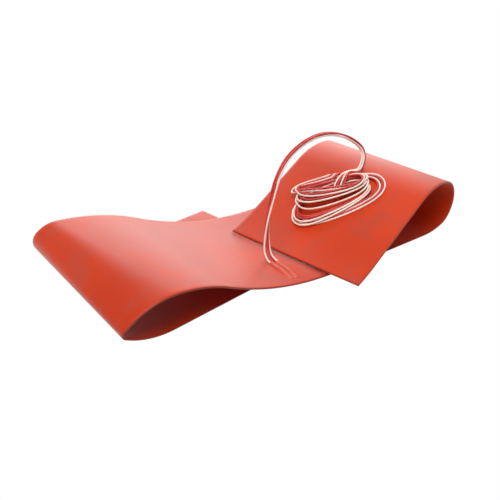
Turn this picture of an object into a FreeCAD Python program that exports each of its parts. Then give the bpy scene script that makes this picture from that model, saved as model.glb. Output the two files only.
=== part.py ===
import FreeCAD, Part
import math
import os

# Silicone rubber heater pad, millimetres, +Z up.
# The pad is one long strip, folded over twice into a lying S. Its lower run lies
# flat, the left curl brings it back over itself as the middle run, and the right
# curl ends in a flap that rests on the middle run and carries the coiled leads.
# The origin is the middle of the lower run, on the surface that the pad lies on.
# The lower run goes along -X, and the strip's far edge is its +Y edge.

# Strip
strip_length = 808.0
strip_width = 150.0
cover_thickness = 0.65
foil_thickness = 0.2
foil_clearance = 0.01
base_thickness = 0.85

# Fold lengths along the strip, from the end of the lower run to the end of the flap
left_foot_length = 73.0
left_tip_length = 14.0
left_brow_length = 36.0
left_fall_length = 64.0
middle_run_length = 109.0
right_foot_length = 22.0
right_heel_length = 11.0
right_tip_length = 58.0
right_brow_length = 49.0
flap_length = 74.0
flap_end_length = 36.0

# Angles that the folds turn, in degrees, positive towards the base sheet's side
left_foot_angle = 33.1
left_tip_angle = 100.6
left_brow_angle = 48.0
left_fall_angle = 22.6
right_foot_angle = -23.4
right_heel_angle = -38.6
right_tip_angle = -105.0
right_brow_angle = -38.6
flap_end_angle = 9.4

# How far a fold line leans along the strip for each millimetre across it, where
# one fold ends and the next begins. A lean that changes makes a fold conical.
lean_ratio_lower_run = -0.41
lean_ratio_left_foot = -0.10
lean_ratio_left_tip = -0.02
lean_ratio_left_brow = -0.23
lean_ratio_left_fall = -0.005
lean_ratio_valley = 0.06
lean_ratio_middle_run = -0.055
lean_ratio_right_foot = -0.105
lean_ratio_right_heel = -0.105
lean_ratio_right_tip = -0.075
lean_ratio_right_brow = -0.03
lean_ratio_flap = -0.15

# Lower run and valley: the valley's own angle and length make the middle run level
# and lay it on the surface beside the lower run's end
valley_angle = -26.0
valley_length = 130.0

# Heating element: one foil track that runs up and down the strip
track_count = 6
track_width = 14.0
track_edge_margin = 10.5
track_end_margin = 8.0
link_width = 8.0
link_spacing = 4.0

# Leads
lead_diameter = 1.8
lead_row_before_middle_run = 45.5
lead_pitch = 2.4
lead_pair_pitch = 6.4
lead_buried_length = 13.0
lead_exit_run = 3.6
arc_share_of_run = 0.45

# Moulded cover over the lead joints
hump_width = 6.6
hump_height = 2.5
hump_toe_margin = 9.0
hump_length = 31.0
hump_taper_length = 12.0
hump_toe_scale = 0.12
bore_floor = 0.1
seat_depth = 0.4
seat_gap = 0.02

# Joints under the cover
ferrule_length = 7.0
solder_post_radius = 0.6
sensor_length = 2.3
sensor_width = 2.0
sensor_height = 0.5

# Hank of coiled lead on the flap
hank_before_flap_end = 78.0
hank_across = -0.5
hank_heading = 124.4
hank_height = 8.0
hank_clearance = 0.1
hank_bevel = 2.5

degrees_per_span = 8.0
least_spans = 4
vector = FreeCAD.Vector

pad_thickness = cover_thickness + base_thickness
half_thickness = pad_thickness / 2
half_width = strip_width / 2
cover_face = -half_thickness
base_face = half_thickness
foil_low = cover_face + cover_thickness
foil_high = foil_low + foil_thickness

folds_after_lower_run = [
    (left_foot_length, left_foot_angle, lean_ratio_left_foot),
    (left_tip_length, left_tip_angle, lean_ratio_left_tip),
    (left_brow_length, left_brow_angle, lean_ratio_left_brow),
    (left_fall_length, left_fall_angle, lean_ratio_left_fall),
    (valley_length, valley_angle, lean_ratio_valley),
    (middle_run_length, 0.0, lean_ratio_middle_run),
    (right_foot_length, right_foot_angle, lean_ratio_right_foot),
    (right_heel_length, right_heel_angle, lean_ratio_right_heel),
    (right_tip_length, right_tip_angle, lean_ratio_right_tip),
    (right_brow_length, right_brow_angle, lean_ratio_right_brow),
    (flap_length, 0.0, lean_ratio_flap),
    (flap_end_length, flap_end_angle, 0.0),
]
lower_run_length = strip_length - sum(fold[0] for fold in folds_after_lower_run)
folds = [(lower_run_length, 0.0, lean_ratio_lower_run)] + folds_after_lower_run
middle_run_start = lower_run_length + sum(fold[0] for fold in folds_after_lower_run[:5])
lead_row_place = middle_run_start - lead_row_before_middle_run
hank_place = strip_length - hank_before_flap_end
hump_mouth = -half_width + hump_toe_margin + hump_length


class Station:
    """One straight line across the folded strip, and the strip's frame there."""

    def __init__(self, place, point, along, up, lean, curl, lean_rate):
        self.place = place
        self.point = point
        self.along = along
        self.up = up
        self.across = along.cross(up)
        self.lean = lean
        self.curl = curl
        self.lean_rate = lean_rate

    def line(self):
        return self.across + self.along * self.lean

    def at(self, v, n):
        """The point v across the strip and n above its middle surface."""
        return self.point + self.line() * v + self.up * n

    def slope(self, v, n):
        """How the point at (v, n) moves for each millimetre along the strip."""
        stretch = 1 + v * self.lean_rate - n * self.curl
        return self.along * stretch + self.across * (n * self.curl * self.lean)

    def ahead(self, length):
        """The station this far on, in the same fold."""
        lean = self.lean + self.lean_rate * length / 2
        axis = self.across + self.along * lean
        angle = self.curl * length * axis.Length
        half_turn = FreeCAD.Rotation(axis, math.degrees(angle / 2))
        whole_turn = FreeCAD.Rotation(axis, math.degrees(angle))
        chord = half_turn.multVec(self.along)
        if angle:
            with_axis = axis * (chord.dot(axis) / axis.dot(axis))
            shrink = math.sin(angle / 2) / (angle / 2)
            chord = with_axis + (chord - with_axis) * shrink
        return Station(self.place + length, self.point + chord * length,
                       whole_turn.multVec(self.along), whole_turn.multVec(self.up),
                       self.lean + self.lean_rate * length, self.curl, self.lean_rate)


def walk(cuts):
    """Follow the folds and return the strip's zones, each a list of stations."""
    station = Station(0.0, vector(lower_run_length / 2, 0, half_thickness),
                      vector(-1, 0, 0), vector(0, 0, 1), 0.0, 0.0, 0.0)
    zones = []
    for length, turn, lean_end in folds:
        start = station.place
        inside = [cut for cut in cuts if start < cut < start + length]
        station.curl = math.radians(turn) / length
        station.lean_rate = (lean_end - station.lean) / length
        for stop in inside + [start + length]:
            share = (stop - station.place) / length
            spans = max(math.ceil(abs(turn) / degrees_per_span), least_spans) if turn else 1
            spans = max(math.ceil(spans * share), 1)
            zone = [station]
            for _ in range(spans):
                zone.append(zone[-1].ahead((stop - station.place) / spans))
            zones.append(zone)
            station = zone[-1]
        station = Station(station.place, station.point, station.along, station.up,
                          station.lean, 0.0, 0.0)
    return zones


def station_at(zones, place):
    """The station at any place along the strip."""
    zone = next(zone for zone in zones if place <= zone[-1].place)
    before = [station for station in zone if station.place <= place][-1]
    return before.ahead(place - before.place)


def rail(zone, v, n):
    """The edge that a point at (v, n) draws along one curved zone of the strip."""
    poles = [zone[0].at(v, n)]
    for before, after in zip(zone, zone[1:]):
        third = (after.place - before.place) / 3
        poles.append(before.at(v, n) + before.slope(v, n) * third)
        poles.append(after.at(v, n) - after.slope(v, n) * third)
    poles.append(zone[-1].at(v, n))
    knots = [station.place for station in zone]
    mults = [4] + [2] * (len(zone) - 2) + [4]
    curve = Part.BSplineCurve()
    curve.buildFromPolesMultsKnots(poles, mults, knots, False, 3)
    return curve.toShape()


def flat_face(points):
    return Part.Face(Part.makePolygon(points + points[:1]))


def ruled(zone, first, second):
    """The face along one zone between two of its rails."""
    start = zone[0]
    end = zone[-1]
    if start.curl == 0:
        return flat_face([start.at(*first), start.at(*second), end.at(*second), end.at(*first)])
    return Part.makeRuledSurface(rail(zone, *first), rail(zone, *second))


def open_spans(first, second):
    """The heights that a wall closes between two neighbouring cells."""
    if first is None or second is None:
        return [span for span in (first, second) if span]
    return [(min(pair), max(pair)) for pair in zip(first, second) if pair[0] != pair[1]]


def slab(zones, lines, section):
    """A solid layer of the strip. section gives each cell's low and high level,
    or None where the layer is missing."""
    cells = [[section(zone, middle) for middle in middles(lines)] for zone in zones]
    faces = []
    for side in (0, 1):
        levels = {cell[side] if cell else None for row in cells for cell in row}
        splits = list(range(len(lines))) if len(levels) > 1 else [0, len(lines) - 1]
        for zone, row in zip(zones, cells):
            for j, k in zip(splits, splits[1:]):
                if row[j]:
                    level = row[j][side]
                    faces.append(ruled(zone, (lines[j], level), (lines[k], level)))
    for zone, row in zip(zones, cells):
        for v, first, second in zip(lines, [None] + row, row + [None]):
            for low, high in open_spans(first, second):
                faces.append(ruled(zone, (v, low), (v, high)))
    for zone, row, next_row in zip(zones, cells, cells[1:]):
        for j, (first, second) in enumerate(zip(row, next_row)):
            for low, high in open_spans(first, second):
                end = zone[-1]
                faces.append(flat_face([end.at(lines[j], low), end.at(lines[j + 1], low),
                                        end.at(lines[j + 1], high), end.at(lines[j], high)]))
    for end, row in ((zones[0][0], cells[0]), (zones[-1][-1], cells[-1])):
        if row[0]:
            low, high = row[0]
            one_level = len({cell for line in cells for cell in line}) == 1
            top = [lines[0], lines[-1]] if one_level else lines
            faces.append(flat_face([end.at(lines[-1], low), end.at(lines[0], low)]
                                   + [end.at(v, high) for v in top]))
    shell = Part.makeShell(faces)
    shell.sewShape()
    solid = Part.makeSolid(shell)
    if solid.Volume < 0:
        solid.reverse()
    return solid


def middles(lines):
    return [(a + b) / 2 for a, b in zip(lines, lines[1:])]


# Tracks of the heating element
track_span = strip_width - 2 * track_edge_margin
track_pitch = (track_span - track_width) / (track_count - 1)
track_starts = [-track_span / 2 + track_pitch * i for i in range(track_count)]
sensor_place = track_starts[0] + (track_width + track_pitch) / 2
track_lines = sorted([-half_width, half_width] + track_starts
                     + [start + track_width for start in track_starts])
outer_link_end = track_end_margin + link_width
inner_link_start = outer_link_end + link_spacing
inner_link_end = inner_link_start + link_width
right_link_end = strip_length - track_end_margin
right_link_start = right_link_end - link_width
red_lead_offset = lead_pair_pitch / 2 - lead_pitch / 2
terminal_left_end = lead_row_place - red_lead_offset + solder_post_radius
terminal_right_end = lead_row_place + red_lead_offset - solder_post_radius
element_cuts = [track_end_margin, outer_link_end, inner_link_start, inner_link_end,
                terminal_left_end, terminal_right_end, right_link_start, right_link_end]


def has_foil(zone, v):
    """Whether the foil covers the cell in this zone at v across the strip."""
    place = (zone[0].place + zone[-1].place) / 2
    if abs(v) > track_span / 2 or not track_end_margin < place < right_link_end:
        return False
    number, beyond = divmod(v + track_span / 2, track_pitch)
    on_track = beyond < track_width
    if place < outer_link_end:
        return True
    if place < inner_link_start:
        return on_track and number in (0, track_count - 1)
    if place < inner_link_end:
        return on_track or number % 2 == 1
    if place > right_link_start:
        return on_track or number % 2 == 0
    if terminal_left_end < place < terminal_right_end and number == 0:
        return False
    return on_track


def make_cover_sheet(zones):
    return slab(zones, [-half_width, half_width], lambda zone, v: (cover_face, foil_low))


def make_base_sheet(zones):
    """The base sheet has the foil's channel in the face that meets the cover sheet."""
    def section(zone, v):
        return (foil_high if has_foil(zone, v) else foil_low, base_face)
    return slab(zones, track_lines, section)


def make_heating_element(zones):
    def section(zone, v):
        if not has_foil(zone, v):
            return None
        return (foil_low + foil_clearance, foil_high - foil_clearance)
    return slab(zones, track_lines, section)


class LeadRow:
    """The place on the cover sheet's outer face where the leads enter."""

    def __init__(self, zones):
        station = station_at(zones, lead_row_place)
        self.up = station.up * -1
        self.inward = station.line().normalize()
        self.row = self.inward.cross(self.up)
        self.origin = station.at(0, cover_face - seat_gap)

    def at(self, offset, v, height):
        return self.origin + self.row * offset + self.inward * v + self.up * height


lead_height = bore_floor + lead_diameter / 2
lead_offsets = {
    "lead_white_1": -lead_pair_pitch / 2 - lead_pitch / 2,
    "lead_red_1": -lead_pair_pitch / 2 + lead_pitch / 2,
    "lead_red_2": lead_pair_pitch / 2 - lead_pitch / 2,
    "lead_white_2": lead_pair_pitch / 2 + lead_pitch / 2,
}
bore_end = hump_mouth - lead_buried_length
ferrule_end = bore_end - ferrule_length


def rod(row, offset, v_from, v_to, radius):
    """A round rod in the row of leads, between two places across the strip."""
    return Part.makeCylinder(radius, abs(v_to - v_from),
                             row.at(offset, min(v_from, v_to), lead_height), row.inward)


def hump(row, offset):
    """One hump of the joint cover: a low arch that fades towards the strip's edge."""
    sections = []
    stops = ((hump_mouth, 1.0), (hump_mouth - hump_length + hump_taper_length, 1.0),
             (hump_mouth - hump_length, hump_toe_scale))
    for v, scale in stops:
        height = hump_height * scale
        corners = [row.at(offset + side * hump_width / 2, v, level)
                   for side, level in ((-1, 0), (-1, -seat_depth), (1, -seat_depth), (1, 0))]
        arch = Part.Arc(corners[-1], row.at(offset, v, height), corners[0]).toShape()
        sections.append(Part.Wire([arch, Part.makePolygon(corners)]))
    body = Part.makeLoft(sections[:2], True, True)
    return body.fuse(Part.makeLoft(sections[1:], True, True))


def make_joint_cover(row, cover_sheet):
    """Two humps side by side, bored for the leads, with their foot bonded to the sheet."""
    cover = hump(row, -lead_pair_pitch / 2).fuse(hump(row, lead_pair_pitch / 2))
    cover = cover.cut(cover_sheet)
    for offset in lead_offsets.values():
        cover = cover.cut(rod(row, offset, hump_mouth, ferrule_end, lead_diameter / 2))
    return cover.removeSplitter()


def make_ferrule(row, offset):
    return rod(row, offset, bore_end, ferrule_end, lead_diameter / 2)


def solder_post(row, offset):
    """A drop of solder from the foil, through the cover sheet, to a power lead's ferrule."""
    foot = row.at(offset, (bore_end + ferrule_end) / 2, -cover_thickness)
    post = Part.makeCylinder(solder_post_radius, cover_thickness + lead_height, foot, row.up)
    return post.cut(make_ferrule(row, offset))


def make_sensor(zones):
    station = station_at(zones, lead_row_place)
    up = station.up
    inward = station.line().normalize()
    row = inward.cross(up)
    corner = station.at(sensor_place, foil_low + seat_gap)
    corner = corner - row * (sensor_length / 2) - inward * (sensor_width / 2)
    chip = Part.makeBox(sensor_length, sensor_width, sensor_height)
    chip.Placement = FreeCAD.Placement(corner, FreeCAD.Rotation(row, inward, up, "XYZ"))
    return chip


# Route of the bundle of four leads, from its exits to the hank: the middle of the
# bundle, point by point
bundle_route = [
    vector(32.8, -53.0, 9.6),
    vector(35.4, -49.0, 16.5),
    vector(37.4, -47.0, 27.0),
    vector(40.7, -45.0, 41.0),
    vector(47.5, -42.5, 57.5),
    vector(55.5, -41.0, 75.0),
    vector(70.0, -40.0, 90.5),
    vector(90.0, -40.5, 99.5),
    vector(112.0, -41.5, 102.8),
    vector(133.0, -43.0, 99.5),
    vector(151.0, -45.0, 92.5),
    vector(163.5, -47.5, 84.5),
    vector(170.0, -50.3, 77.8),
    vector(171.2, -55.4, 70.4),
    vector(167.0, -60.9, 64.8),
    vector(157.3, -65.5, 62.4),
    vector(146.5, -68.5, 58.8),
    vector(136.0, -71.0, 53.5),
]

# Where each lead lies in the bundle at each of those points: towards the inside of
# the arch, and towards the front. After the last pair given, it stays.
bundle_places = {
    "lead_white_1": [(-4.4, 0.0), (-3.9, -0.3), (-2.3, -1.6), (-0.6, -2.2), (1.1, -1.5),
                     (1.1, -1.1)],
    "lead_red_1": [(-2.0, 0.0), (-1.9, 0.5), (-1.7, 0.6), (-1.9, -0.3), (-1.1, -1.1)],
    "lead_red_2": [(2.0, 0.0), (1.4, 0.0), (0.6, 0.9), (-0.6, 1.5), (-1.1, 1.1)],
    "lead_white_2": [(4.4, 0.0), (3.6, 0.4), (2.7, 0.6), (1.4, 0.6), (1.1, 1.1)],
}
front = vector(0, -1, 0)


def lead_route(row, name):
    """The route of one lead: from its ferrule, out of the joint cover, to the hank."""
    offset = lead_offsets[name]
    places = bundle_places[name]
    route = [row.at(offset, bore_end, lead_height),
             row.at(offset, hump_mouth + lead_exit_run, lead_height)]
    for i, point in enumerate(bundle_route):
        after = bundle_route[min(i + 1, len(bundle_route) - 1)]
        way = (after - bundle_route[max(i - 1, 0)]).normalize()
        inside = way.cross(front).normalize()
        inner, forward = places[min(i, len(places) - 1)]
        route.append(point + inside * inner + inside.cross(way) * forward)
    return route


def bent_path(points):
    """Straight runs joined by tangent arcs. Returns the wire and the arcs' radii."""
    edges = []
    radii = []
    start = points[0]
    for before, corner, after in zip(points, points[1:], points[2:]):
        back = before - corner
        on = after - corner
        turn = math.pi - back.getAngle(on)
        cut = arc_share_of_run * min(back.Length, on.Length)
        radii.append(cut / math.tan(turn / 2))
        back.normalize()
        on.normalize()
        arc_start = corner + back * cut
        arc_end = corner + on * cut
        bisector = (back + on).normalize()
        centre = corner + bisector * (radii[-1] / math.cos(turn / 2))
        arc_middle = centre - bisector * radii[-1]
        edges.append(Part.LineSegment(start, arc_start).toShape())
        edges.append(Part.Arc(arc_start, arc_middle, arc_end).toShape())
        start = arc_end
    edges.append(Part.LineSegment(start, points[-1]).toShape())
    return Part.Wire(edges), radii


def make_lead(row, name, hank):
    """A lead's free part, from its ferrule up to the hank. Its radii are printed."""
    route = lead_route(row, name)
    path, radii = bent_path(route)
    profile = Part.Wire(Part.makeCircle(lead_diameter / 2, route[0], route[1] - route[0]))
    tube = path.makePipeShell([profile], True, False)
    section = math.pi * (lead_diameter / 2) ** 2
    print(f"{name}: path {path.Length:.1f}, volume ratio {tube.Volume / section / path.Length:.4f},"
          f" least radius {min(radii):.1f}")
    print("   radii", " ".join(f"{radius:.0f}" for radius in radii))
    return max(tube.cut(hank).Solids, key=lambda solid: solid.Volume)


# Outline of the hank, seen from above the flap: along its length, and across it
hank_outline = [
    (-46, 4), (-40, 21), (-23, 30), (0, 28), (30, 17), (46, 3), (47, -15), (34, -29),
    (8, -24), (-28, -28), (-45, -20),
]


def make_hank(zones):
    """The hank's solid: straight sides and a bevelled rim, laid on the flap."""
    station = station_at(zones, hank_place)
    length_way = FreeCAD.Rotation(station.up, hank_heading).multVec(station.along)
    width_way = length_way.cross(station.up)
    middle = station.at(0, base_face + hank_clearance) + station.across * hank_across
    rim = hank_height - hank_bevel
    sections = []
    for height, inset in ((0, 0), (rim, 0), (hank_height, hank_bevel)):
        points = []
        for x, y in hank_outline:
            outward = length_way * x + width_way * y
            inward = outward * (inset / outward.Length)
            points.append(middle + station.up * height + outward - inward)
        outline = Part.BSplineCurve()
        outline.interpolate(Points=points, PeriodicFlag=True)
        sections.append(Part.Wire(outline.toShape()))
    return Part.makeLoft(sections, True, True)


def make_parts():
    zones = walk(element_cuts)
    row = LeadRow(zones)
    parts = {}
    posts = [solder_post(row, lead_offsets[name]) for name in ("lead_red_1", "lead_red_2")]
    sensor = make_sensor(zones)
    cover_sheet = make_cover_sheet(zones)
    parts["cover_sheet"] = cover_sheet.cut(posts)
    parts["base_sheet"] = make_base_sheet(zones).cut(sensor)
    parts["heating_element"] = make_heating_element(zones)
    parts["joint_cover"] = make_joint_cover(row, cover_sheet).cut(posts)
    parts["temperature_sensor"] = sensor
    for number, post in enumerate(posts, 1):
        parts[f"solder_post_{number}"] = post
    for name, offset in lead_offsets.items():
        parts[name.replace("lead", "ferrule")] = make_ferrule(row, offset)
    hank = make_hank(zones)
    parts["lead_hank"] = hank
    for name in lead_offsets:
        parts[name] = make_lead(row, name, hank)
    return parts


os.makedirs("parts", exist_ok=True)
for part_name, shape in make_parts().items():
    if len(shape.Solids) == 1:
        shape = shape.Solids[0]
    shape.exportStep(f"parts/{part_name}.step")
    box = shape.BoundBox
    print(f"{part_name}: {len(shape.Solids)} solid, valid {shape.isValid()},"
          f" volume {shape.Volume:.1f}, z {box.ZMin:.2f} to {box.ZMax:.2f}")
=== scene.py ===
import math

import bpy
import numpy
from mathutils import Matrix, Vector


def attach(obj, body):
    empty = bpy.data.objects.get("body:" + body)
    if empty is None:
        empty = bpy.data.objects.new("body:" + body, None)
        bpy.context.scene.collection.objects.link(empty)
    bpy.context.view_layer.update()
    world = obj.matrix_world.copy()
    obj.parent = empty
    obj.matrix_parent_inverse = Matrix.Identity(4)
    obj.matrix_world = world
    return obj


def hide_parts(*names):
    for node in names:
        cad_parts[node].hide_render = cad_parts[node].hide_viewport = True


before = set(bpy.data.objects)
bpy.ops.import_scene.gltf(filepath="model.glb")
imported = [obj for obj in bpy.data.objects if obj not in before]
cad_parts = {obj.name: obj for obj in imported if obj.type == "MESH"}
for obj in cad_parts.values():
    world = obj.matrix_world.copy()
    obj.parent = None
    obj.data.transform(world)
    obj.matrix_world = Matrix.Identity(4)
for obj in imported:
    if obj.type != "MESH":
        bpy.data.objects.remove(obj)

bl_info = {
    "name": "Silicone heater pad",
    "version": (1, 0, 0),
    "blender": (4, 5, 0),
    "location": "View3D > Sidebar > Heater pad",
    "description": "Builds a folded silicone heater pad with its coiled leads and a plain stage",
    "category": "Object",
}

MM = 0.001

# Folds of the strip, from the end of the lower run: length in millimetres, turn in
# degrees, and the lean of the fold line at the fold's end
LOWER_RUN_LENGTH = 132.0
FOLDS = [
    (LOWER_RUN_LENGTH, 0.0, -0.41),
    (73.0, 33.1, -0.10),
    (14.0, 100.6, -0.02),
    (36.0, 48.0, -0.23),
    (64.0, 22.6, -0.005),
    (130.0, -26.0, 0.06),
    (109.0, 0.0, -0.055),
    (22.0, -23.4, -0.105),
    (11.0, -38.6, -0.105),
    (58.0, -105.0, -0.075),
    (49.0, -38.6, -0.03),
    (74.0, 0.0, -0.15),
    (36.0, 9.4, 0.0),
]

# Heights from the strip's middle surface: the face that the coil lies on, and the
# plane just clear of the other face that the leads' exits are measured from
COIL_FACE = 0.75
EXIT_FACE = -0.77

# Map of the strip's skin: its first face lies round 0, its second face is mirrored
# and lies round 1, and the two cut ends share one place beyond both. The last size is
# the width of the band of skin beside its cut edges that gets painted shade, like the edges
SECOND_FACE = 1.0
CUT_ENDS = 2.45
EDGE_SHADE_BAND = 0.0005
MAP_CLOSING_STEP = 0.0003
EDGE_STEPS = 6

# Bundle of the four leads between the joint cover and the coil: its middle, and
# where each lead lies in it, towards the inside of the arch and towards the front
BUNDLE_ROUTE = [
    (32.8, -53.0, 9.6), (35.4, -49.0, 16.5), (37.4, -47.0, 27.0), (40.7, -45.0, 41.0),
    (47.5, -42.5, 57.5), (55.5, -41.0, 75.0), (70.0, -40.0, 90.5), (90.0, -40.5, 99.5),
    (112.0, -41.5, 102.8), (133.0, -43.0, 99.5), (151.0, -45.0, 92.5), (163.5, -47.5, 84.5),
    (170.0, -50.3, 77.8), (170.2, -54.2, 70.4), (164.1, -57.2, 64.3), (154.3, -61.7, 62.1),
]
BUNDLE_PLACES = {
    "white_1": [(-4.4, 0.0), (-3.9, 0.2), (-3.0, 0.9), (-2.1, 1.9), (-0.2, 2.9), (1.3, 2.1),
                (1.1, 1.1)],
    "red_1": [(-2.0, 0.0), (-1.9, -0.2), (-1.7, -0.6), (-1.6, -1.0), (-1.1, -1.1)],
    "red_2": [(2.0, 0.0), (1.4, 0.0), (0.6, 0.3), (-0.2, 0.7), (-1.1, 1.1)],
    "white_2": [(4.4, 0.0), (3.6, -0.2), (2.7, -0.5), (1.8, -0.9), (1.1, -1.1)],
}
FRONT = Vector((0.0, -1.0, 0.0))

# First points of the leads inside the joint cover: places across the strip, height
# above the exit face, and each lead's place in the row. Then the distance between the
# stations that the leads are measured from
EXIT_RUN = (-48.0, -38.5, -31.4)
EXIT_HEIGHT = 1.0
LEAD_OFFSETS = {"white_1": -4.4, "red_1": -2.0, "red_2": 2.0, "white_2": 4.4}
LEAD_STEP = 0.5

# Turns of the coil on the flap, from the lowest to the highest, in the coil's own
# frame: each oval's middle, half length, half width and tilt in degrees
COIL_TURNS = {
    "white_2": [(0, -2.5, 47.5, 23.5, -19), (-7, 3.0, 41, 18.0, -24), (-5, -7.0, 36.5, 14.0, -14),
                (-8, -17.5, 38.5, 10.0, 1)],
    "red_1": [(0, -2.4, 45, 21.5, -19), (-6, 2.0, 37, 13.0, -19), (-5, -9.0, 34, 8.5, -12),
              (-8, -16.8, 36, 8.4, 0)],
    "white_1": [(0, -2.3, 42.5, 19.5, -19), (-6.5, 2.5, 39, 15.5, -22), (-5, -9.0, 35, 10.5, -12),
                (-6, -13, 34, 10, -3)],
    "red_2": [(0, -2.2, 40.5, 18.5, -19), (-6, 1.6, 35, 10.8, -19), (-5, -10.5, 32, 7.8, -10),
              (-6, -13, 32, 8.0, -3)],
}

# Shift of the coil towards the strip's near edge, the angle where a turn starts, the
# share of a turn that keeps its oval before it changes into the next one, and how
# straight the ovals' long sides are
COIL_SIDE_SHIFT = 0.5
COIL_START = -60.0
COIL_SHAPE_HOLD = 0.7
OVAL_STRAIGHTNESS = 1.8
POINTS_PER_TURN = 16
COIL_LAST = 4 * POINTS_PER_TURN - 2

# How strands rest: distance between the middles of touching strands in diameters,
# the lowest strand's gap to the flap, the share of its neighbours' height that a
# point with nothing under it keeps, and the height that the coil's last point
# rises towards
STRAND_SPACING = 1.06
FLAP_GAP = 0.1
STRAND_SAMPLES = 8
SAG = 0.93
SAG_ROUNDS = 6
WRAP_MEETING_HEIGHT = 9.5

# Loop of the leads round the top strands of the coil, in the coil's own frame: over,
# down the front, under, and up the back. Then its points under and over the strands,
# and how far each lead's loop is moved along the coil
WRAP_ROUTE = [
    (11.4, -25.6, 9.6), (9.0, -21.2, 10.3), (6.9, -16.8, 10.3), (5.2, -12.5, 9.9),
    (4.2, -9.8, 7.3), (3.4, -9.8, 3.6), (2.8, -12.4, 1.0), (2.3, -16.3, 1.0),
    (1.9, -20.3, 1.0), (1.5, -24.3, 1.0), (1.1, -28.1, 1.0), (0.8, -30.7, 3.6),
    (0.3, -30.7, 7.0), (-1.0, -28.4, 9.4), (-3.6, -25.9, 10.0),
]
WRAP_UNDER = range(6, 11)
WRAP_TOP = (0, 1, 2, 3, 13, 14)
WRAP_PLACES = {"white_2": -7.0, "red_1": -4.0, "white_1": -1.0, "red_2": 2.0}

# Way from the bundle into the loop: its first point, how the leads spread, rise and
# stand behind each other there, and the shares of the ways in and out at which a
# point lies
WRAP_APPROACH = (21.4, -28.5, 7.0)
APPROACH_SPREAD = 0.35
APPROACH_RISE = 0.9
APPROACH_STAGGER = 0.25
WAY_IN_STAGGER = 0.4
IN_SHARE = 0.6
OUT_SHARE = 0.3

# Stage, in metres and degrees
FLOOR_SIZE = 6.0
FLOOR_PLACE = (0.1, 0.1, -0.0005)
LIGHT_TARGET = Vector((0.08, 0.0, 0.03))
KEY_PLACE = (-0.55, -0.30, 1.35)
KEY_SIZE = 1.0
BACK_PLACE = (0.95, 1.0, 0.70)
BACK_SIZE = 1.4
CAMERA_PLACE = (-0.3772, -0.4382, 0.3144)
CAMERA_TURN = (61.92, 0.0, -45.1)
CAMERA_LENS = 50.0
CAMERA_SENSOR = 36.0


class Station:
    """One straight line across the folded strip, and the strip's frame there."""

    def __init__(self, place, point, along, up, lean):
        self.place = place
        self.point = point
        self.along = along
        self.up = up
        self.across = along.cross(up)
        self.lean = lean

    def line(self):
        return self.across + self.along * self.lean

    def at(self, v, n):
        """The point v across the strip and n above its middle surface."""
        return self.point + self.line() * v + self.up * n


def walk(step):
    """Follow the folds in short steps and return the stations, in millimetres."""
    settings = bpy.context.scene.heater_pad
    scale = settings.length / MM / sum(length for length, _, _ in FOLDS)
    station = Station(0.0, Vector((LOWER_RUN_LENGTH / 2, 0, settings.thickness / MM / 2)),
                      Vector((-1, 0, 0)), Vector((0, 0, 1)), 0.0)
    stations = [station]
    for fold_length, turn, lean_end in FOLDS:
        length = fold_length * scale
        steps = max(round(length / step), 1)
        curl = math.radians(turn) / length
        lean_step = (lean_end - station.lean) / steps
        stride = length / steps
        for _ in range(steps):
            axis = station.across + station.along * (station.lean + lean_step / 2)
            half_turn = Matrix.Rotation(curl * stride * axis.length / 2, 3, axis)
            point = station.point + half_turn @ station.along * stride
            turned = half_turn @ half_turn
            station = Station(station.place + stride, point, turned @ station.along,
                              turned @ station.up, station.lean + lean_step)
            stations.append(station)
    return stations


def station_at(stations, place):
    return min(stations, key=lambda station: abs(station.place - place))


def color_property(name, description, default):
    return bpy.props.FloatVectorProperty(name=name, description=description, default=default,
                                         subtype="COLOR", min=0.0, max=1.0)


class HeaterPadSettings(bpy.types.PropertyGroup):
    """Sizes and colours of the pad."""
    length: bpy.props.FloatProperty(
        name="Length", description="Length that the strip was cut to", default=0.808,
        unit="LENGTH")
    width: bpy.props.FloatProperty(
        name="Width", description="Width that the strip was cut to", default=0.150,
        unit="LENGTH")
    thickness: bpy.props.FloatProperty(
        name="Thickness", description="Thickness of the two sheets together", default=0.0015,
        unit="LENGTH")
    step: bpy.props.FloatProperty(
        name="Step along", description="Length of the mesh's faces along the strip",
        default=0.002, unit="LENGTH")
    columns: bpy.props.IntProperty(
        name="Columns across", description="Number of faces across the strip", default=50)
    edge_radius: bpy.props.FloatProperty(
        name="Edge radius", description="Rounding of the long cut edges", default=0.0003,
        unit="LENGTH")
    rubber_dark: color_property("Rubber, dark", "Dark patches of the rubber",
                                (0.49, 0.029, 0.001))
    rubber_light: color_property("Rubber, light", "Light patches of the rubber",
                                 (0.61, 0.040, 0.002))
    scuff: color_property("Scuffs", "Dull scuffed places", (0.40, 0.055, 0.030))
    # Painted shade: the darker colour laid on the cut edges and on the thin band beside them
    edge: color_property("Cut edge", "Cut edges darkened as painted shade", (0.26, 0.030, 0.014))
    cover_dark: color_property("Joint cover, dark", "Dark patches of the moulded cover",
                               (0.50, 0.055, 0.025))
    cover_light: color_property("Joint cover, light", "Light patches of the moulded cover",
                                (0.66, 0.085, 0.035))


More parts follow.
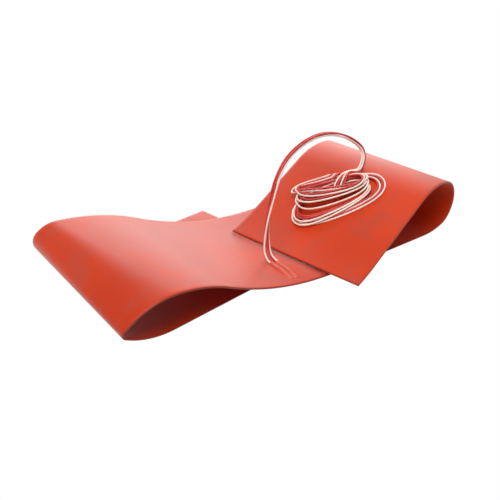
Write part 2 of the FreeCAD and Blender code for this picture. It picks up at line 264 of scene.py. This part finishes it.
class HeaterLeadSettings(bpy.types.PropertyGroup):
    """Sizes, places and colours of the leads."""
    length: bpy.props.FloatProperty(
        name="Length", description="Real length of each lead", default=1.0, unit="LENGTH")
    diameter: bpy.props.FloatProperty(
        name="Diameter", description="Diameter over the insulation", default=0.0018,
        unit="LENGTH")
    row_place: bpy.props.FloatProperty(
        name="Row place", description="Distance of the joint cover along the strip",
        default=0.4035, unit="LENGTH")
    hank_place: bpy.props.FloatProperty(
        name="Coil place", description="Distance of the coil's middle along the strip",
        default=0.730, unit="LENGTH")
    hank_heading: bpy.props.FloatProperty(
        name="Coil heading", description="Heading of the coil on the flap",
        default=math.radians(124.4), subtype="ANGLE")
    white_dark: color_property("White lead, dark", "Shaded white insulation",
                               (0.86, 0.68, 0.59))
    white_light: color_property("White lead, light", "Clean white insulation",
                                (0.96, 0.80, 0.70))
    red_dark: color_property("Red lead, dark", "Dark red insulation", (0.52, 0.025, 0.022))
    red_light: color_property("Red lead, light", "Light red insulation", (0.64, 0.035, 0.03))


class HeaterStageSettings(bpy.types.PropertyGroup):
    """Lights and floor."""
    key_power: bpy.props.FloatProperty(
        name="Key light", description="Power of the light above the pad", default=19.0,
        unit="POWER")
    back_power: bpy.props.FloatProperty(
        name="Back light", description="Power of the light behind the pad", default=18.0,
        unit="POWER")
    world_strength: bpy.props.FloatProperty(
        name="World", description="Strength of the even light from all round", default=0.25)
    floor: color_property("Floor", "Colour of the floor", (0.85, 0.85, 0.85))


# Shader helpers

def add_node(tree, kind, **settings):
    node = tree.nodes.new(kind)
    for name, value in settings.items():
        setattr(node, name, value)
    return node


def make_group(name, inputs, outputs):
    """A node group with float inputs and typed outputs, and its two end nodes."""
    group = bpy.data.node_groups.new(name, "ShaderNodeTree")
    for label, default in inputs:
        socket = group.interface.new_socket(label, in_out="INPUT", socket_type="NodeSocketFloat")
        socket.default_value = default
    for label, kind in outputs:
        group.interface.new_socket(label, in_out="OUTPUT", socket_type=kind)
    return group, add_node(group, "NodeGroupInput"), add_node(group, "NodeGroupOutput")


def make_material(name):
    material = bpy.data.materials.new(name)
    material.use_nodes = True
    return material, material.node_tree, material.node_tree.nodes["Principled BSDF"]


def cloth_weave_group():
    """Fine plain weave of the glass cloth that prints through the rubber, as a bump."""
    group, source, target = make_group(
        "Cloth weave", [("Radians per metre", 1400.0), ("Strength", 0.2)],
        [("Normal", "NodeSocketVector")])
    uv = add_node(group, "ShaderNodeUVMap", uv_map="strip")
    split = add_node(group, "ShaderNodeSeparateXYZ")
    group.links.new(uv.outputs[0], split.inputs[0])
    waves = []
    for axis in ("X", "Y"):
        scale = add_node(group, "ShaderNodeMath", operation="MULTIPLY")
        group.links.new(split.outputs[axis], scale.inputs[0])
        group.links.new(source.outputs["Radians per metre"], scale.inputs[1])
        wave = add_node(group, "ShaderNodeMath", operation="SINE")
        group.links.new(scale.outputs[0], wave.inputs[0])
        waves.append(wave)
    product = add_node(group, "ShaderNodeMath", operation="MULTIPLY")
    group.links.new(waves[0].outputs[0], product.inputs[0])
    group.links.new(waves[1].outputs[0], product.inputs[1])
    bump = add_node(group, "ShaderNodeBump")
    bump.inputs["Distance"].default_value = 0.0001
    group.links.new(source.outputs["Strength"], bump.inputs["Strength"])
    group.links.new(product.outputs[0], bump.inputs["Height"])
    group.links.new(bump.outputs[0], target.inputs["Normal"])
    return group


def cloud_group():
    """Soft uneven patches for colour and gloss."""
    group, source, target = make_group(
        "Clouds", [("Scale", 12.0), ("Detail", 4.0)], [("Mask", "NodeSocketFloat")])
    place = add_node(group, "ShaderNodeTexCoord")
    noise = add_node(group, "ShaderNodeTexNoise")
    group.links.new(place.outputs["Object"], noise.inputs["Vector"])
    group.links.new(source.outputs["Scale"], noise.inputs["Scale"])
    group.links.new(source.outputs["Detail"], noise.inputs["Detail"])
    group.links.new(noise.outputs[0], target.inputs["Mask"])
    return group


def cut_edge_group():
    """Mask of the strip's cut edges and of a thin band beside them, for painted shade."""
    group, source, target = make_group(
        "Cut edge", [("Half width", 0.0745), ("Fade", 0.0006)], [("Mask", "NodeSocketFloat")])
    uv = add_node(group, "ShaderNodeUVMap", uv_map="strip")
    split = add_node(group, "ShaderNodeSeparateXYZ")
    group.links.new(uv.outputs[0], split.inputs[0])
    side = add_node(group, "ShaderNodeMath", operation="ROUND")
    group.links.new(split.outputs["Y"], side.inputs[0])
    value = split.outputs["Y"]
    for operation, second in (("SUBTRACT", side.outputs[0]), ("ABSOLUTE", None),
                              ("SUBTRACT", source.outputs["Half width"]),
                              ("DIVIDE", source.outputs["Fade"])):
        step = add_node(group, "ShaderNodeMath", operation=operation)
        group.links.new(value, step.inputs[0])
        if second:
            group.links.new(second, step.inputs[1])
        value = step.outputs[0]
    step.use_clamp = True
    group.links.new(value, target.inputs["Mask"])
    return group


def use_group(tree, name, **values):
    node = add_node(tree, "ShaderNodeGroup", node_tree=bpy.data.node_groups[name])
    for label, value in values.items():
        node.inputs[label].default_value = value
    return node


def ramp(tree, source, stops):
    node = add_node(tree, "ShaderNodeValToRGB")
    elements = node.color_ramp.elements
    while len(elements) < len(stops):
        elements.new(0.5)
    for element, (position, color) in zip(elements, stops):
        element.position = position
        element.color = (*color, 1.0)
    tree.links.new(source, node.inputs["Fac"])
    return node


def map_range(tree, source, old, new):
    node = add_node(tree, "ShaderNodeMapRange")
    tree.links.new(source, node.inputs["Value"])
    labels = ("From Min", "From Max", "To Min", "To Max")
    for label, value in zip(labels, (*old, *new)):
        node.inputs[label].default_value = value
    return node.outputs["Result"]


def mix_color(tree, factor, base, over):
    """Base colour from a socket with a plain colour over it where the factor is high."""
    node = add_node(tree, "ShaderNodeMix", data_type="RGBA")
    tree.links.new(factor, node.inputs["Factor"])
    tree.links.new(base, node.inputs[6])
    node.inputs[7].default_value = (*over, 1.0)
    return node.outputs[2]


def pad_material(settings):
    """Orange-red rubber sheet: slight patches, dull scuffs, painted shade on cut edges, dusty
    sheen.
    """
    material, tree, shader = make_material("pad_rubber")
    patches = use_group(tree, "Clouds", Scale=9.0)
    color = ramp(tree, patches.outputs["Mask"],
                 [(0.35, settings.rubber_dark), (0.65, settings.rubber_light)])
    scuffs = use_group(tree, "Clouds", Scale=42.0, Detail=9.0)
    dull = map_range(tree, scuffs.outputs["Mask"], (0.50, 0.68), (0.0, 0.45))
    scuffed = mix_color(tree, dull, color.outputs["Color"], settings.scuff)
    # Painted shade: the cut edges and a thin band beside them take the darker edge colour
    edge = use_group(tree, "Cut edge", **{"Half width": settings.width / 2 - EDGE_SHADE_BAND})
    edge_shaded = mix_color(tree, edge.outputs["Mask"], scuffed, settings.edge)
    tree.links.new(edge_shaded, shader.inputs["Base Color"])
    gloss = map_range(tree, patches.outputs["Mask"], (0.3, 0.7), (0.37, 0.45))
    tree.links.new(gloss, shader.inputs["Roughness"])
    weave = use_group(tree, "Cloth weave", Strength=0.08)
    tree.links.new(weave.outputs["Normal"], shader.inputs["Normal"])
    shader.inputs["Specular IOR Level"].default_value = 0.18
    shader.inputs["Sheen Weight"].default_value = 0.30
    shader.inputs["Sheen Roughness"].default_value = 0.45
    shader.inputs["Sheen Tint"].default_value = (1.0, 0.86, 0.80, 1.0)
    return material


def moulded_material(settings):
    material, tree, shader = make_material("moulded_rubber")
    clouds = use_group(tree, "Clouds", Scale=220.0)
    color = ramp(tree, clouds.outputs["Mask"],
                 [(0.3, settings.cover_dark), (0.7, settings.cover_light)])
    tree.links.new(color.outputs["Color"], shader.inputs["Base Color"])
    shader.inputs["Roughness"].default_value = 0.45
    return material


def metal_material(name, dark, light, roughness):
    material, tree, shader = make_material(name)
    clouds = use_group(tree, "Clouds", Scale=400.0)
    color = ramp(tree, clouds.outputs["Mask"], [(0.3, dark), (0.7, light)])
    tree.links.new(color.outputs["Color"], shader.inputs["Base Color"])
    shader.inputs["Metallic"].default_value = 1.0
    shader.inputs["Roughness"].default_value = roughness
    return material


def ceramic_material():
    material, tree, shader = make_material("sensor_ceramic")
    clouds = use_group(tree, "Clouds", Scale=300.0)
    color = ramp(tree, clouds.outputs["Mask"],
                 [(0.3, (0.70, 0.69, 0.65)), (0.7, (0.80, 0.79, 0.76))])
    tree.links.new(color.outputs["Color"], shader.inputs["Base Color"])
    shader.inputs["Roughness"].default_value = 0.55
    return material


def insulation_material(name, dark, light):
    material, tree, shader = make_material(name)
    clouds = use_group(tree, "Clouds", Scale=90.0)
    color = ramp(tree, clouds.outputs["Mask"], [(0.35, dark), (0.65, light)])
    tree.links.new(color.outputs["Color"], shader.inputs["Base Color"])
    shader.inputs["Roughness"].default_value = 0.38
    return material


# Pieces

def profile(width, thickness, radius, columns):
    """Section of the strip as (v, n) points with their place in the strip's map."""
    half = width / 2
    high = thickness / 2
    flat = half - radius
    points = []
    for i in range(columns + 1):
        v = -flat + 2 * flat * i / columns
        points.append((v, -high, v))
    for i in range(1, EDGE_STEPS):
        angle = math.pi * i / EDGE_STEPS
        points.append((flat + radius * math.sin(angle), -high * math.cos(angle),
                       flat + radius + thickness * i / EDGE_STEPS))
    for i in range(columns + 1):
        v = flat - 2 * flat * i / columns
        points.append((v, high, SECOND_FACE - v))
    for i in range(1, EDGE_STEPS):
        angle = math.pi * i / EDGE_STEPS
        points.append((-flat - radius * math.sin(angle), high * math.cos(angle),
                       SECOND_FACE + flat + radius + thickness * i / EDGE_STEPS))
    return points


def build_pad_mesh(settings):
    stations = walk(settings.step / MM)
    section = profile(settings.width, settings.thickness, settings.edge_radius,
                      settings.columns)
    count = len(section)
    verts = [station.at(v / MM, n / MM) * MM for station in stations for v, n, _ in section]
    faces = []
    coords = []
    for i in range(len(stations) - 1):
        for j in range(count):
            k = (j + 1) % count
            faces.append((i * count + j, i * count + k, (i + 1) * count + k, (i + 1) * count + j))
            ends = (section[j][2], section[k][2] if k else section[j][2] + MAP_CLOSING_STEP)
            low, high = stations[i].place * MM, stations[i + 1].place * MM
            coords += [(low, ends[0]), (low, ends[1]), (high, ends[1]), (high, ends[0])]
    for base, order in ((0, 1), ((len(stations) - 1) * count, -1)):
        for j in range(count // 2 - 1):
            quad = [base + j, base + j + 1, base + count - 2 - j, base + count - 1 - j]
            faces.append(tuple(quad[::-order]))
            coords += [(0.0, CUT_ENDS)] * 4
    mesh = bpy.data.meshes.new("pad")
    mesh.from_pydata(verts, [], faces)
    layer = mesh.uv_layers.new(name="strip")
    for loop, uv in zip(layer.data, coords):
        loop.uv = uv
    mesh.shade_smooth()
    mesh.update()
    return mesh


def finish_part(part, material):
    for slot in part.material_slots:
        slot.material = material


class OBJECT_OT_heater_pad_add(bpy.types.Operator):
    """Add the folded pad"""
    bl_idname = "object.heater_pad_add"
    bl_label = "Add heater pad"

    def execute(self, context):
        settings = context.scene.heater_pad
        mesh = build_pad_mesh(settings)
        pad = bpy.data.objects.new("pad", mesh)
        context.collection.objects.link(pad)
        mesh.materials.append(pad_material(settings))
        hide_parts("cover_sheet", "base_sheet")
        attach(pad, "root")
        return {"FINISHED"}


class OBJECT_OT_heater_joint_cover_finish(bpy.types.Operator):
    """Finish the moulded cover over the lead joints"""
    bl_idname = "object.heater_joint_cover_finish"
    bl_label = "Finish joint cover"

    def execute(self, context):
        finish_part(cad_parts["joint_cover"], moulded_material(context.scene.heater_pad))
        return {"FINISHED"}


class OBJECT_OT_heater_inner_parts_finish(bpy.types.Operator):
    """Finish the foil, the sensor, the solder posts and the ferrules inside the pad"""
    bl_idname = "object.heater_inner_parts_finish"
    bl_label = "Finish inner parts"

    def execute(self, context):
        foil = metal_material("etched_foil", (0.42, 0.40, 0.38), (0.55, 0.53, 0.50), 0.34)
        solder = metal_material("solder_tin", (0.50, 0.50, 0.51), (0.68, 0.68, 0.70), 0.28)
        crimp = metal_material("crimp_brass", (0.50, 0.45, 0.36), (0.62, 0.57, 0.47), 0.30)
        ceramic = ceramic_material()
        finishes = {"heating_element": foil, "temperature_sensor": ceramic,
                    "solder_post": solder, "ferrule": crimp}
        for start, material in finishes.items():
            parts = [part for node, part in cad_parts.items() if node.startswith(start)]
            if not parts:
                raise RuntimeError("the frame has no node for " + start)
            for part in parts:
                finish_part(part, material)
        return {"FINISHED"}


def coil_point(turns, i):
    """Control point i of one lead's turns, seen from above the flap, in stadium ovals."""
    number, share = divmod(i / POINTS_PER_TURN, 1.0)
    low = turns[min(int(number), len(turns) - 1)]
    high = turns[min(int(number) + 1, len(turns) - 1)]
    blend = max(share - COIL_SHAPE_HOLD, 0.0) / (1.0 - COIL_SHAPE_HOLD)
    x, y, length, width, tilt = [a + (b - a) * blend for a, b in zip(low, high)]
    angle = math.radians(COIL_START + 360.0 * i / POINTS_PER_TURN)
    side = math.tanh(OVAL_STRAIGHTNESS * math.cos(angle)) / math.tanh(OVAL_STRAIGHTNESS)
    place = Vector(((length - width) * side + width * math.cos(angle), width * math.sin(angle)))
    place.rotate(Matrix.Rotation(math.radians(tilt), 2))
    return place + Vector((x, y))


def strand_samples(points, i):
    """Places along the smooth line near control point i."""
    samples = []
    for k in range(STRAND_SAMPLES):
        t = (k + 0.5) / STRAND_SAMPLES
        samples.append(points[i - 1] * ((1 - t) ** 2 / 2) + points[i] * (0.5 + t - t * t)
                       + points[min(i + 1, len(points) - 1)] * (t * t / 2))
    return samples


def rest_height(points, i, below, gap, floor_height):
    """Least height at which the line near point i lies on the strands below it."""
    need = floor_height
    for sample in strand_samples(points, i):
        apart = (below[:, 0] - sample.x) ** 2 + (below[:, 1] - sample.y) ** 2
        near = apart < gap * gap
        if near.any():
            need = max(need, (below[near, 2] + numpy.sqrt(gap * gap - apart[near])).max())
    return need


def lay_coil(diameter):
    """Loops and turns of every lead, in the coil's frame: each strand rests on those below."""
    gap = diameter * STRAND_SPACING
    floor_height = diameter / 2 + FLAP_GAP
    wraps = {name: [Vector((x + place, y, z)) for x, y, z in WRAP_ROUTE]
             for name, place in WRAP_PLACES.items()}
    coils = {name: [coil_point(turns, i).to_3d() for i in range(COIL_LAST + 1)]
             for name, turns in COIL_TURNS.items()}
    laid = [(*sample, name, -1) for name, points in wraps.items() for i in WRAP_UNDER
            for sample in strand_samples(points, i)]
    for first in range(0, COIL_LAST + 1, POINTS_PER_TURN):
        span = range(max(first, 1), min(first + POINTS_PER_TURN, COIL_LAST + 1))
        for name, points in coils.items():
            others = numpy.array([place[:3] for place in laid
                                  if place[3] != name or place[4] < first - 2])
            for i in span:
                points[i].z = rest_height(points, i, others, gap, floor_height)
            for _ in range(SAG_ROUNDS):
                for i in span:
                    after = points[i + 1].z if i + 1 in span else points[i].z
                    if i == COIL_LAST:
                        after = WRAP_MEETING_HEIGHT
                    middle = (points[i - 1].z + after) / 2
                    points[i].z = max(points[i].z, middle * SAG + floor_height * (1 - SAG))
            laid += [(*sample, name, i) for i in span for sample in strand_samples(points, i)]
        if not first:
            for points in coils.values():
                points[0].z = points[1].z
    for name, points in wraps.items():
        others = numpy.array([place[:3] for place in laid])
        for i in WRAP_TOP:
            points[i].z = max(points[i].z, rest_height(points, max(i, 1), others, gap, 0.0))
        points[-1].y = (points[-1].y + coils[name][-1].y) / 2
    return wraps, coils


def lead_points(name, settings, stations, wrap, coil):
    """Control points of one lead, in millimetres."""
    row_station = station_at(stations, settings.row_place / MM)
    up = -row_station.up
    inward = row_station.line().normalized()
    row = inward.cross(up)
    origin = row_station.at(0, EXIT_FACE) + row * LEAD_OFFSETS[name] + up * EXIT_HEIGHT
    points = [origin + inward * v for v in EXIT_RUN]
    for i, centre in enumerate(BUNDLE_ROUTE):
        centre = Vector(centre)
        before = Vector(BUNDLE_ROUTE[max(i - 1, 0)])
        after = Vector(BUNDLE_ROUTE[min(i + 1, len(BUNDLE_ROUTE) - 1)])
        way = (after - before).normalized()
        inside = way.cross(FRONT).normalized()
        places = BUNDLE_PLACES[name]
        inner, forward = places[min(i, len(places) - 1)]
        points.append(centre + inside * inner + inside.cross(way) * forward)
    hank = station_at(stations, settings.hank_place / MM)
    length_way = Matrix.Rotation(settings.hank_heading, 3, hank.up) @ hank.along
    width_way = length_way.cross(hank.up)
    middle = hank.at(0, COIL_FACE) - hank.across * COIL_SIDE_SHIFT
    x, y, z = WRAP_APPROACH
    rise = APPROACH_RISE if name.startswith("white") else -APPROACH_RISE
    behind = max(WRAP_PLACES.values()) - WRAP_PLACES[name]
    approach = Vector((x + WRAP_PLACES[name] * APPROACH_SPREAD, y, z + rise))
    way_in = approach.lerp(wrap[0], IN_SHARE)
    approach.y -= behind * APPROACH_STAGGER
    way_in.y -= behind * WAY_IN_STAGGER
    way_out = wrap[-1].lerp(coil[-1], OUT_SHARE)
    for place in [approach, way_in] + wrap + [way_out] + coil[::-1]:
        points.append(middle + length_way * place.x + width_way * place.y + hank.up * place.z)
    return points


class OBJECT_OT_heater_leads_add(bpy.types.Operator):
    """Add the four leads with their coil"""
    bl_idname = "object.heater_leads_add"
    bl_label = "Add leads"

    def execute(self, context):
        settings = context.scene.heater_leads
        stations = walk(LEAD_STEP)
        white = insulation_material("white_silicone", settings.white_dark,
                                    settings.white_light)
        red = insulation_material("red_silicone", settings.red_dark, settings.red_light)
        wraps, coils = lay_coil(settings.diameter / MM)
        for name in LEAD_OFFSETS:
            points = lead_points(name, settings, stations, wraps[name], coils[name])
            curve = bpy.data.curves.new("lead_" + name, "CURVE")
            curve.dimensions = "3D"
            curve.bevel_depth = settings.diameter / 2
            curve.bevel_resolution = 3
            curve.use_fill_caps = True
            spline = curve.splines.new("NURBS")
            spline.points.add(len(points) - 1)
            for control, point in zip(spline.points, points):
                control.co = (*(point * MM), 1.0)
            spline.order_u = 3
            spline.use_endpoint_u = True
            spline.resolution_u = 8
            curve.materials.append(white if name.startswith("white") else red)
            lead = bpy.data.objects.new(name + "_lead", curve)
            context.collection.objects.link(lead)
            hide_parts("lead_" + name)
            if name == "white_1":
                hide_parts("lead_hank")
            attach(lead, "root")
        return {"FINISHED"}


class SCENE_OT_heater_stage_add(bpy.types.Operator):
    """Add the floor, lights and camera"""
    bl_idname = "scene.heater_stage_add"
    bl_label = "Add stage"

    def execute(self, context):
        settings = context.scene.heater_stage
        scene = context.scene
        scene.view_settings.view_transform = "Standard"
        world = bpy.data.worlds.new("studio")
        scene.world = world
        world.use_nodes = True
        tree = world.node_tree
        dim = tree.nodes["Background"]
        dim.inputs["Color"].default_value = (1, 1, 1, 1)
        dim.inputs["Strength"].default_value = settings.world_strength
        white = add_node(tree, "ShaderNodeBackground")
        white.inputs["Color"].default_value = (1, 1, 1, 1)
        white.inputs["Strength"].default_value = 1.0
        self.show_white(tree, dim.outputs[0], white.outputs[0], tree.nodes["World Output"])

        bpy.ops.mesh.primitive_plane_add(size=FLOOR_SIZE, location=FLOOR_PLACE)
        floor = context.object
        floor.name = "floor"
        material, tree, shader = make_material("floor_white")
        shader.inputs["Base Color"].default_value = (*settings.floor, 1)
        shader.inputs["Roughness"].default_value = 0.9
        glow = add_node(tree, "ShaderNodeEmission")
        glow.inputs["Color"].default_value = (1, 1, 1, 1)
        self.show_white(tree, shader.outputs[0], glow.outputs[0], tree.nodes["Material Output"])
        floor.data.materials.append(material)

        self.add_light("key", KEY_PLACE, KEY_SIZE, settings.key_power)
        self.add_light("back", BACK_PLACE, BACK_SIZE, settings.back_power)

        camera = bpy.data.objects.new("camera", bpy.data.cameras.new("camera"))
        camera.data.lens = CAMERA_LENS
        camera.data.sensor_width = CAMERA_SENSOR
        camera.location = CAMERA_PLACE
        camera.rotation_euler = [math.radians(turn) for turn in CAMERA_TURN]
        context.collection.objects.link(camera)
        scene.camera = camera
        return {"FINISHED"}

    def show_white(self, tree, plain, white, output):
        """White to the camera and in reflections, and the plain shader for all other light."""
        rays = add_node(tree, "ShaderNodeLightPath")
        seen = rays.outputs["Is Camera Ray"]
        for kind in ("Is Glossy Ray", "Is Transmission Ray"):
            either = add_node(tree, "ShaderNodeMath", operation="MAXIMUM")
            tree.links.new(seen, either.inputs[0])
            tree.links.new(rays.outputs[kind], either.inputs[1])
            seen = either.outputs[0]
        mix = add_node(tree, "ShaderNodeMixShader")
        tree.links.new(seen, mix.inputs["Fac"])
        tree.links.new(plain, mix.inputs[1])
        tree.links.new(white, mix.inputs[2])
        tree.links.new(mix.outputs[0], output.inputs["Surface"])

    def add_light(self, name, place, size, power):
        light = bpy.data.lights.new(name, "AREA")
        light.size = size
        light.energy = power
        holder = bpy.data.objects.new(name, light)
        holder.location = place
        aim = (Vector(place) - LIGHT_TARGET).to_track_quat("Z", "Y")
        holder.rotation_euler = aim.to_euler()
        bpy.context.collection.objects.link(holder)


class VIEW3D_PT_heater_pad(bpy.types.Panel):
    """Panel with the sizes and the build buttons"""
    bl_idname = "VIEW3D_PT_heater_pad"
    bl_label = "Heater pad"
    bl_space_type = "VIEW_3D"
    bl_region_type = "UI"
    bl_category = "Heater pad"

    def draw(self, context):
        layout = self.layout
        for settings in (context.scene.heater_pad, context.scene.heater_leads,
                         context.scene.heater_stage):
            for name in settings.__annotations__:
                layout.prop(settings, name)
        for operator in OPERATORS:
            layout.operator(operator.bl_idname)


OPERATORS = (
    OBJECT_OT_heater_pad_add,
    OBJECT_OT_heater_joint_cover_finish,
    OBJECT_OT_heater_inner_parts_finish,
    OBJECT_OT_heater_leads_add,
    SCENE_OT_heater_stage_add,
)
SETTINGS = {
    "heater_pad": HeaterPadSettings,
    "heater_leads": HeaterLeadSettings,
    "heater_stage": HeaterStageSettings,
}


def register():
    for settings in SETTINGS.values():
        bpy.utils.register_class(settings)
    for name, settings in SETTINGS.items():
        setattr(bpy.types.Scene, name, bpy.props.PointerProperty(type=settings))
    for operator in OPERATORS:
        bpy.utils.register_class(operator)
    bpy.utils.register_class(VIEW3D_PT_heater_pad)


def unregister():
    bpy.utils.unregister_class(VIEW3D_PT_heater_pad)
    for operator in reversed(OPERATORS):
        bpy.utils.unregister_class(operator)
    for name, settings in SETTINGS.items():
        delattr(bpy.types.Scene, name)
        bpy.utils.unregister_class(settings)


def main():
    register()
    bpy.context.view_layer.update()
    cloth_weave_group()
    cloud_group()
    cut_edge_group()
    bpy.ops.object.heater_pad_add()
    bpy.ops.object.heater_joint_cover_finish()
    bpy.ops.object.heater_inner_parts_finish()
    bpy.ops.object.heater_leads_add()
    bpy.ops.scene.heater_stage_add()


if __name__ == "__main__":
    main()
